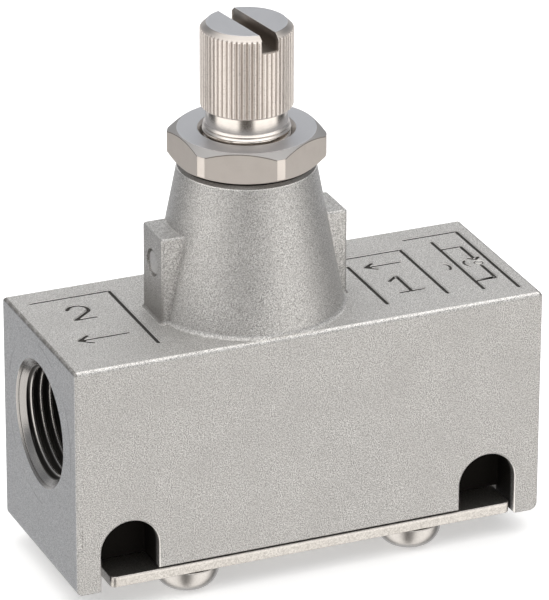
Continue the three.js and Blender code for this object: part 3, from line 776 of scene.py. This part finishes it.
def knurled_head():
    """Radius R - depth * v(t), where v is a rounded V in each tooth's share of the turn, kept
    inside an envelope that is chamfered at both ends; the chamfer so scallops the teeth."""
    per_tooth = 8
    foot_height = 0.4
    foot_inset = 0.45
    turn = np.linspace(0, 2 * math.pi, knurl_teeth * per_tooth + 1)[None]
    share = (turn * knurl_teeth / (2 * math.pi)) % 1
    valley = np.clip(1.8 * (1 - np.abs(2 * share - 1)) - 0.8, 0, 1)
    knurl = knob_radius - knurl_depth * valley
    foot = np.linspace(0, 1, 6)
    crown = np.linspace(0, 1, 15)
    levels = np.concatenate([
        knurl_bottom + foot_height * foot, knurl_top - 0.02 + (knob_top - knurl_top) * crown])
    levels[-1] = knob_top
    limit = np.concatenate([
        knob_radius - foot_inset * (1 - np.sin(foot * math.pi / 2)),
        knob_radius - (knob_radius - head_radius) * crown])
    radius = np.minimum(knurl, limit[:, None])
    height = np.broadcast_to(levels[:, None], radius.shape)
    return np.stack([axis_x + radius * np.cos(turn), radius * np.sin(turn), height], -1)


knob = skin("throttle_screw", knurled_head())
neck = skin("neck", lathe([
    (0, shank_top - 2, 0),
    (5.42, shank_top - 2, 0),
    (5.95, shank_top - 0.45, 0.05),
    (5.68, shank_top - 0.20, 0.05),
    (5.84, shank_top + 0.02, 0.05),
    (neck_radius, shank_top + 0.28, 0.05),
    (neck_radius, knurl_bottom + 0.4, 0),
    (0, knurl_bottom + 0.4, 0),
], axis))
shank_turns = thread(
    shank_bottom + 0.1, shank_top - 0.1, core_radius + 0.02, 0.56, screw_pitch, axis, 96)
shank = skin("shank", shank_turns)
shank_core = skin("shank_core", lathe([
    (0, shank_bottom, 0), (core_radius - 0.2, shank_bottom, 0), (core_radius, shank_bottom + 0.3, 0),
    (core_radius, shank_top - 0.5, 0), (0, shank_top - 0.5, 0)], axis))
worked(knob, "UNION", neck, shank, shank_core)
socket_radius = 4.5
clip_groove_radius = socket_radius + 0.45
collar_bottom = shank_bottom + 1.2
socket = skin("socket", lathe([
    (0, shank_bottom - 1, 0),
    (socket_radius, shank_bottom - 1, 0),
    (socket_radius, shank_bottom + 0.2, 0),
    (clip_groove_radius, shank_bottom + 0.2, 0),
    (clip_groove_radius, shank_bottom + 1.1, 0),
    (socket_radius, shank_bottom + 1.1, 0),
    (socket_radius, collar_bottom + 1.7, 0.1),
    (0, collar_bottom + 2.9, 0),
], axis))
slot_rows = [(knob_top - slot_depth, 0)] + rim(knob_top, -1, -0.1, 3)[::-1] + [(knob_top + 1, -0.1)]
slot_tool = slab(box_outline(-9, -slot_half, 9, slot_half), slot_rows, "z")
along, across, height = np.moveaxis(slot_tool, -1, 0)
cosine, sine = math.cos(slot_turn), math.sin(slot_turn)
screw_slot = skin("screw_slot", np.stack([
    along * cosine - across * sine + axis_x, along * sine + across * cosine, height], -1))
smooth(worked(knob, "DIFFERENCE", socket, screw_slot), 28)


def turned_nickel(made, top):
    """Nickel on turned brass: fine rings follow the distance from the axis and the height, and a painted
    reflection, lighter and cooler, lies on the top face.
    Gives that distance, the face, colour, roughness and rings."""
    out = made.away(made.x, made.y, axis_x)
    rings = made.noise(0.09, 2.0, 0.6, made.vector(out, made.z, 0.0))
    tarnish = made.noise(2.2, 3.0)
    painted_top_reflection = made.z.rise(top - 0.03, top - 0.01)
    colour = made.mixed(rings, (0.62, 0.575, 0.535), (0.76, 0.72, 0.68))
    colour = made.mixed(tarnish.rise(0.4, 0.75) * 0.35, colour, (0.52, 0.475, 0.44))
    # painted reflection: the top face made lighter and cooler
    colour = made.mixed(painted_top_reflection * 0.8, colour, (0.84, 0.85, 0.88))
    return out, painted_top_reflection, colour, 0.25 + 0.10 * rings + 0.07 * tarnish, rings


def knurled_nickel():
    """Polished neck, bright pitted knurl with painted shade in its valleys, painted shade on the head's
    chamfer, a painted shadow in the slot and a painted reflection on the top face.
    """
    made = Finish("nickel_knurled")
    out, painted_top_reflection, colour, rough, rings = turned_nickel(made, knob_top)
    below_head = made.z.rise(knurl_bottom + 0.02, knurl_bottom - 0.02)
    # painted shade: the head's chamfer made darker
    painted_chamfer_shade = made.z.rise(knurl_top + 0.02, knurl_top + 0.08) * (1 - painted_top_reflection)
    painted_chamfer_shade = painted_chamfer_shade * out.rise(head_radius - 0.1, head_radius)
    colour = made.mixed(painted_chamfer_shade * 0.8, colour, (0.44, 0.41, 0.385))
    band = made.z.rise(knurl_bottom, knurl_bottom + 0.1) * made.z.rise(knob_top - 0.3, knurl_top)
    band = band * out.rise(knob_radius - 0.9, knob_radius - 0.6)
    # painted shade in the knurl's valleys
    painted_valley_shade = out.rise(knob_radius - 0.06, knob_radius - knurl_depth) * band
    pits = made.noise(0.15, 2.0, 0.6).rise(0.57, 0.66) * band
    colour = made.mixed(band * 0.6, colour, (0.84, 0.78, 0.735))
    colour = made.mixed(painted_valley_shade * 0.30, colour, (0.42, 0.365, 0.33))
    colour = made.mixed(pits * 0.45, colour, (0.30, 0.26, 0.235))
    in_slot = (knob_top - made.z).rise(0.25, 1.2) * out.rise(knob_radius - 0.3, knob_radius - 0.7)
    in_slot = in_slot * made.z.rise(knob_top - 3.0, knob_top - 2.8)
    colour = made.mixed(in_slot * 0.75, colour, (0.16, 0.125, 0.10))
    rough = rough - 0.14 * below_head + 0.14 * band
    relief = rings * 0.5 * (1 - band) + made.noise(0.12, 2.0) * band * 1.6
    return made.surface(colour, rough, 1.0, relief, 0.012)


knob.data.materials.append(knurled_nickel())
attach(knob, "knob")
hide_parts("adjusting_knob")


# ---- Lock nut ----
# A thin M12x1 hexagon nut, 19 mm across flats, of nickel-plated brass. Both ends are chamfered
# and the corners are turned down. It clamps the throttle screw.

across_flats = 19
corner_reach = across_flats / math.sqrt(3)
chamfer_radius = 9.35
corner_radius = 10.65
chamfer_slope = math.tan(math.pi / 6)
chamfer = (corner_radius - chamfer_radius) * chamfer_slope
nut_bottom = nut_low[2]
nut_top = nut_high[2]
corner_angles = [math.radians(-87.4 + 60 * k) for k in range(6)]
hexagon = [
    (axis_x + corner_reach * math.cos(a), corner_reach * math.sin(a), 0.05) for a in corner_angles]
nut = skin("hex_lock_nut", slab(hexagon, [(nut_bottom, 0), (nut_top, 0)], "z"))
turned_blank = skin("turned_blank", lathe([
    (0, nut_bottom, 0),
    (chamfer_radius, nut_bottom, 0.15),
    (corner_radius, nut_bottom + chamfer, 0.15),
    (corner_radius, nut_top - chamfer, 0.15),
    (chamfer_radius, nut_top, 0.15),
    (0, nut_top, 0),
], axis, sides=192))
worked(nut, "INTERSECT", turned_blank)
nut_bore = skin("nut_bore", lathe([
    (0, nut_bottom - 1, 0),
    (thread_mouth, nut_bottom - 1, 0),
    (thread_mouth, nut_bottom, 0.05),
    (thread_bore, nut_bottom + 0.5, 0),
    (thread_bore, nut_top - 0.5, 0),
    (6.62, nut_top, 0.05),
    (6.62, nut_top + 1, 0),
    (0, nut_top + 1, 0),
], axis))
nut_turns = thread(nut_bottom + 0.15, nut_top - 0.15, thread_bore - 0.02, 0.4, screw_pitch, axis)
smooth(worked(nut, "DIFFERENCE", nut_bore, skin("nut_turns", nut_turns)), 14)


def nut_nickel():
    """Satin flats under a duller chamfer, with a painted shadow line where the two meet and a painted
    reflection on the top face.
    """
    made = Finish("nickel_turned")
    out, _, colour, rough, rings = turned_nickel(made, nut_top)
    flats = out.rise(chamfer_radius - 0.02, chamfer_radius + 0.02)
    below = nut_top - (out - chamfer_radius) * chamfer_slope - made.z
    # painted shadow: a thin dark line on the flats just under the chamfer's arcs
    line = flats * below.rise(0.03, 0.06) * below.rise(0.20, 0.12)
    line = line * out.rise(corner_radius, corner_radius - 0.05)
    colour = made.mixed(flats * 0.5, colour, (0.86, 0.80, 0.75))
    colour = made.mixed(flats * below.rise(0.04, 0.02), colour, (0.40, 0.39, 0.385))
    colour = made.mixed(line * 0.75, colour, (0.12, 0.10, 0.085))
    return made.surface(colour, rough + 0.24 * flats, 1.0, rings * 0.5, 0.012)


nut.data.materials.append(nut_nickel())
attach(nut, "nut")
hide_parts("lock_nut")


# ---- Washer under the nut ----
# A thin ring of blackened fibre that the lock nut beds on; its near-black also stands in for the shadow
# in the gap under the nut, as painted shadow.


def ring(name, inner, outer, bottom, top, edge=0.05):
    """A flat ring with slightly rounded edges, on the tower's axis."""
    return smooth(skin(name, lathe(box_outline(inner, bottom, outer, top, edge), axis, True)))


def dull(name, colour, light, roughness, size=0.4):
    """Rubber or fibre: matt, with soft mottling."""
    made = Finish(name)
    mottle = made.noise(size, 3.0, 0.6)
    wipe = made.noise(3.0, 2.0)
    shade = made.mixed(mottle * wipe, colour, light)
    return made.surface(shade, roughness + 0.15 * (mottle - 0.5), 0.0, mottle, 0.01)


# the washer's near-black is partly its fibre and partly painted shadow in the gap under the nut
washer = ring("fibre_washer_and_painted_shadow", 6.3, 8.7, washer_low[2], washer_high[2])
fibre_and_painted_shadow = dull("pressed_fibre_and_painted_shadow", (0.022, 0.020, 0.018), (0.07, 0.065, 0.06), 0.65)
washer.data.materials.append(fibre_and_painted_shadow)
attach(washer, "washer")
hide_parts("nut_washer")


# ---- Guide pins ----
# Two ground steel pins pressed into the ribs, whose inner ends keep the needle from turning.


def metal(name, dark, light, roughness, size=0.15, metallic=1.0):
    """Plain bright metal with fine streaks and a soft cloud of handling marks."""
    made = Finish(name)
    streak = made.noise(size, 3.0, 0.6)
    cloud = made.noise(1.8, 2.0)
    shade = made.mixed(streak.rise(0.25, 0.75), dark, light)
    shade = made.mixed(cloud.rise(0.5, 0.8) * 0.3, shade, dark)
    return made.surface(shade, roughness + 0.12 * (streak - 0.5) + 0.06 * cloud, metallic, streak, 0.006)


pin_steel = metal("pin_steel", (0.52, 0.51, 0.50), (0.78, 0.77, 0.75), 0.3)
pin_radius = 1.8
for pin_node, end in (("outlet_guide_pin", -1), ("inlet_guide_pin", 1)):
    low, high = place(pin_node)
    inner, outer = sorted((abs(low[0] - axis_x), abs(high[0] - axis_x)))
    shape = lathe([
        (0, inner, 0), (pin_radius - 0.3, inner, 0.1), (pin_radius, inner + 0.3, 0.1),
        (pin_radius, outer - 0.25, 0.1), (pin_radius - 0.25, outer, 0.1), (0, outer, 0),
    ], sides=64)
    pin = lay(shape, end, pin_axis)
    pin[..., 0] += axis_x
    pin = smooth(skin(pin_node.replace("guide_pin", "dowel"), pin))
    pin.data.materials.append(pin_steel)
    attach(pin, "housing")
    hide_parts(pin_node)


# ---- Needle ----
# A turned stainless stem: a conical needle below, a seal groove, two milled keyways for the guide
# pins, and a collar that hangs in the throttle screw's socket.

needle_low, needle_high = place("needle_stem")
stem_radius = 4.0
needle_radius = 2.75
tip_radius = 0.6
groove_radius = 2.2
stem_neck = 2.4
collar_radius = 4.2
needle_tip = needle_low[2]
stem_bottom = upper_top + 1.1
taper_top = needle_tip + (needle_radius - tip_radius) / math.tan(math.radians(15))
groove_bottom = stem_bottom + 0.8
needle = skin("throttle_needle", lathe([
    (0, needle_tip, 0),
    (tip_radius, needle_tip, 0.1),
    (needle_radius, taper_top, 0.2),
    (needle_radius, stem_bottom, 0.1),
    (stem_radius, stem_bottom, 0.2),
    (stem_radius, groove_bottom, 0.05),
    (groove_radius, groove_bottom, 0.05),
    (groove_radius, groove_bottom + 2.2, 0.05),
    (stem_radius, groove_bottom + 2.2, 0.05),
    (stem_radius, collar_bottom - 2.6, 0.3),
    (stem_neck, collar_bottom - 2.6, 0.1),
    (stem_neck, collar_bottom, 0.1),
    (collar_radius, collar_bottom, 0.1),
    (collar_radius, needle_high[2], 0.1),
    (0, needle_high[2], 0),
], axis))
keyway_half = 2.1
keyway_rows = [(pin_axis - 3.6 - keyway_half, 0), (pin_axis + 1.4 + keyway_half, 0)]
for end in (-1, 1):
    low_x, high_x = sorted((axis_x + end * 2.5, axis_x + end * 5))
    key = box_outline(low_x, -keyway_half, high_x, keyway_half, 0.3)
    worked(needle, "DIFFERENCE", skin("keyway", slab(key, keyway_rows, "z")))
smooth(needle)
needle.data.materials.append(metal("stainless", (0.45, 0.44, 0.43), (0.70, 0.69, 0.67), 0.25))
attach(needle, "needle")
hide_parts("needle_stem")


# ---- Stem seal ----
# A nitrile O-ring in the stem's groove, rubbing in the guide bush.

seal_low, seal_high = place("stem_seal")
seal_wire = (seal_high[2] - seal_low[2]) / 2
seal_turn = (seal_high[0] - seal_low[0]) / 2 - seal_wire
seal_angle = np.linspace(0, 2 * math.pi, 25)[:, None]
around = np.linspace(0, 2 * math.pi, 97)[None]
seal_radius = seal_turn + seal_wire * np.cos(seal_angle)
seal_height = (seal_low[2] + seal_high[2]) / 2 + seal_wire * np.sin(seal_angle) * np.ones_like(around)
o_ring = smooth(skin("stem_o_ring", np.stack([
    axis_x + seal_radius * np.cos(around), seal_radius * np.sin(around), seal_height], -1)))
rubber = dull("nitrile_rubber", (0.012, 0.012, 0.012), (0.05, 0.05, 0.05), 0.5)
o_ring.data.materials.append(rubber)
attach(o_ring, "needle")
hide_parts("stem_seal")


# ---- Retaining ring ----
# A spring steel C-clip in the screw's socket, which carries the needle's collar.

clip_low, clip_high = place("retaining_ring")
clip_inner = 2.7
clip_outer = clip_high[0] - axis_x
clip_gap = 0.8
clip = skin("collar_clip", lathe(
    box_outline(clip_inner, clip_low[2], clip_outer, clip_high[2], 0.06), axis, True))
gap_corners = box_outline(axis_x, -clip_gap, axis_x + 7, clip_gap)
gap_tool = skin("clip_gap", slab(gap_corners, [(clip_low[2] - 1, 0), (clip_high[2] + 1, 0)], "z"))
smooth(worked(clip, "DIFFERENCE", gap_tool))
clip.data.materials.append(metal("blued_steel", (0.16, 0.16, 0.17), (0.32, 0.32, 0.34), 0.35))
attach(clip, "knob")
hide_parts("retaining_ring")


# ---- Guide bush and seat ring ----
# Two turned brass rings pressed into the casting: one guides the stem, the other is the seat
# that the check poppet closes on.

brass = metal("turned_brass", (0.52, 0.37, 0.16), (0.78, 0.60, 0.31), 0.28)
bush_low, bush_high = place("stem_bush")
bush = ring("stem_guide_bush", 4.3, 5.58, bush_low[2], bush_high[2], 0.15)
seat_low, seat_high = place("seat_ring")
seat_inner = 5.2
seat = ring("check_seat", seat_inner, 8.88, seat_low[2], seat_high[2], 0.2)
for brass_ring, node in ((bush, "stem_bush"), (seat, "seat_ring")):
    brass_ring.data.materials.append(brass)
    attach(brass_ring, "housing")
    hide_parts(node)


# ---- Check poppet and its seal ----
# A turned brass cup with the throttle orifice through its hub, four windows in its skirt and a
# moulded seal in its face.

poppet_low, poppet_high = place("check_poppet")
face_seal_low, face_seal_high = place("poppet_seal")
poppet_top = poppet_high[2]
disc_top = poppet_top - 3.6
disc_bottom = disc_top - 1.8
pocket_top = disc_bottom - 1.5
orifice = 1.8
pocket_radius = 6.8
skirt_radius = 8.7
disc_radius = 8.0
hub_radius = 3.8
poppet = skin("poppet", lathe([
    (orifice, poppet_top - 0.6, 0),
    (orifice, pocket_top, 0.05),
    (pocket_radius, pocket_top, 0.3),
    (pocket_radius, poppet_low[2], 0.1),
    (skirt_radius, poppet_low[2], 0.2),
    (skirt_radius, disc_bottom, 0.1),
    (disc_radius, disc_bottom, 0.1),
    (disc_radius, disc_top, 0.2),
    (hub_radius, disc_top, 0.3),
    (hub_radius, poppet_top, 0.2),
    (orifice + 0.6, poppet_top, 0.1),
], axis, True))
seal_inner = (seat_inner + disc_radius) / 2 - 0.8
face_groove = skin("face_groove", lathe(
    box_outline(seal_inner, disc_top - 0.9, seal_inner + 1.6, disc_top + 1), axis, True))
windows = []
window_rows = [(poppet_low[2] - 1, 0), (pocket_top - 0.3, 0)]
for heading in np.radians((45, 135, 225, 315)):
    ahead = np.array([math.cos(heading), math.sin(heading)])
    aside = np.array([-ahead[1], ahead[0]])
    opening = [
        (*(np.array(axis) + ahead * a + aside * b), 0) for a, b, _ in box_outline(6.0, -2.5, 10.0, 2.5)]
    windows.append(skin("window", slab(opening, window_rows, "z")))
smooth(worked(poppet, "DIFFERENCE", face_groove, *windows))
poppet.data.materials.append(brass)
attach(poppet, "poppet")
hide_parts("check_poppet")

face_seal = ring(
    "face_seal", seal_inner + 0.1, seal_inner + 1.5, face_seal_low[2], face_seal_high[2], 0.15)
face_seal.data.materials.append(rubber)
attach(face_seal, "poppet")
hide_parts("poppet_seal")


# ---- Check spring ----
# A coil of spring wire between the cover and the poppet, with its end turns closed up. The
# real one shortens by the poppet's travel; this mesh keeps one length.

spring_low, spring_high = place("check_spring")
spring_length = spring_high[2] - spring_low[2]
wire = 0.5
coil_radius = 6.0
spring_turns = 4.5


def coil():
    """A circle of wire carried along a helix of rise t - sin(4 pi t) / 8 pi, which lies flatter
    at its ends. The circle is spanned by the outward and the upward direction."""
    along = np.linspace(0, 1, 220)[:, None]
    angle = 2 * math.pi * spring_turns * along
    rise = along - np.sin(4 * math.pi * along) / (8 * math.pi)
    height = spring_low[2] + wire + (spring_length - 2 * wire) * rise
    section = np.linspace(0, 2 * math.pi, 15)[None]
    radius = coil_radius + wire * np.cos(section)
    return np.stack([
        axis_x + radius * np.cos(angle), radius * np.sin(angle),
        height + wire * np.sin(section)], -1)


spring = smooth(skin("coil_spring", coil()))
spring.data.materials.append(metal("spring_wire", (0.38, 0.37, 0.36), (0.62, 0.61, 0.60), 0.3))
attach(spring, "housing")
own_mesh(spring)
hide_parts("check_spring")


# ---- Cover plate and gasket ----
# A zinc-plated steel sheet closes the check chamber, with a thin fibre gasket above it.

plate_low, plate_high = place("cover_plate")
plate_corner = 0.8


def flat_sheet(name, low, high, edge, holes):
    """A rectangle with round corners and edges, between a node's corners, less round holes."""
    outline = box_outline(low[0], low[1], high[0], high[1], plate_corner)
    rows = rim(low[2], 1, edge, 4) + rim(high[2], -1, edge, 4)[::-1]
    sheet = skin(name, slab(outline, rows, "z"))
    tools = [rod((x, y, low[2] - 1), (x, y, high[2] + 1), radius) for x, y, radius in holes]
    return smooth(worked(sheet, "DIFFERENCE", *[skin("hole", tool) for tool in tools]))


screw_holes = [(x, y, 2.8) for x, y in screw_places.values()]
plate = flat_sheet("bottom_cover", plate_low, plate_high, 0.18, screw_holes)


def plate_metal():
    """A coarse matt grain with soft clouds, and a painted highlight along the upper edge."""
    made = Finish("blasted_plate")
    grain = made.noise(0.22, 3.0, 0.65)
    cloud = made.noise(4.0)
    shade = made.mixed(grain.rise(0.3, 0.7), (0.42, 0.40, 0.375), (0.68, 0.655, 0.62))
    shade = made.mixed(cloud.rise(0.4, 0.8) * 0.3, shade, (0.44, 0.41, 0.38))
    # painted highlight: a bright band along the plate's upper edge
    painted_highlight = made.z.rise(plate_high[2] - 0.5, plate_high[2] - 0.35)
    painted_highlight = painted_highlight * made.z.rise(plate_high[2], plate_high[2] - 0.02)
    shade = made.mixed(painted_highlight * 0.25, shade, (0.92, 0.88, 0.84))
    return made.surface(shade, 0.40 + 0.12 * (grain - 0.5), 1.0, grain, 0.03)


plate.data.materials.append(plate_metal())
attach(plate, "housing")
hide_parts("cover_plate")

gasket_holes = [*screw_holes, (axis_x, 0, chamber_radius)]
gasket = flat_sheet("cover_seal", gasket_low, gasket_high, 0.05, gasket_holes)
gasket.data.materials.append(fibre_and_painted_shadow)
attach(gasket, "housing")
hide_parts("cover_gasket")


# ---- Cover screws ----
# Four M5 screws of zinc-plated steel, with domed heads and a cross recess, head down.

screw_steel = metal("zinc_plate", (0.52, 0.50, 0.475), (0.62, 0.595, 0.57), 0.34, 0.25)
head_width = 4.5
head_height = 3.45
head_rim = 0.6
shaft_radius = 2.0
for where, (x, y) in screw_places.items():
    low, high = place(f"cover_screw_{where}")
    seat_height = low[2] + head_height
    dome = [
        (head_width * (0.45 + 0.55 * math.sin(a)),
         low[2] + (head_height - head_rim) * (1 - math.cos(a)), 0)
        for a in np.linspace(0, math.pi / 2, 13)]
    profile = [
        (0, low[2], 0), *dome, (head_width, seat_height, 0.15), (shaft_radius, seat_height, 0),
        (shaft_radius, high[2] - 0.3, 0), (shaft_radius - 0.3, high[2], 0), (0, high[2], 0)]
    screw = skin(f"dome_screw_{where}", lathe(profile, (x, y), sides=72))
    turns = thread(seat_height - 0.1, high[2] - 0.2, shaft_radius - 0.05, 0.45, 0.8, (x, y), 48)
    worked(screw, "UNION", skin("screw_turns", turns))
    for wide, deep in ((0.55, 1.9), (1.9, 0.55)):
        arm = box_outline(x - wide, y - deep, x + wide, y + deep, 0.1)
        rows = [(low[2] - 1, 0), (low[2] + 0.2, 0), (low[2] + 1.6, 0.3)]
        worked(screw, "DIFFERENCE", skin("recess", slab(arm, rows, "z")))
    smooth(screw)
    screw.data.materials.append(screw_steel)
    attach(screw, "housing")
    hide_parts(f"cover_screw_{where}")
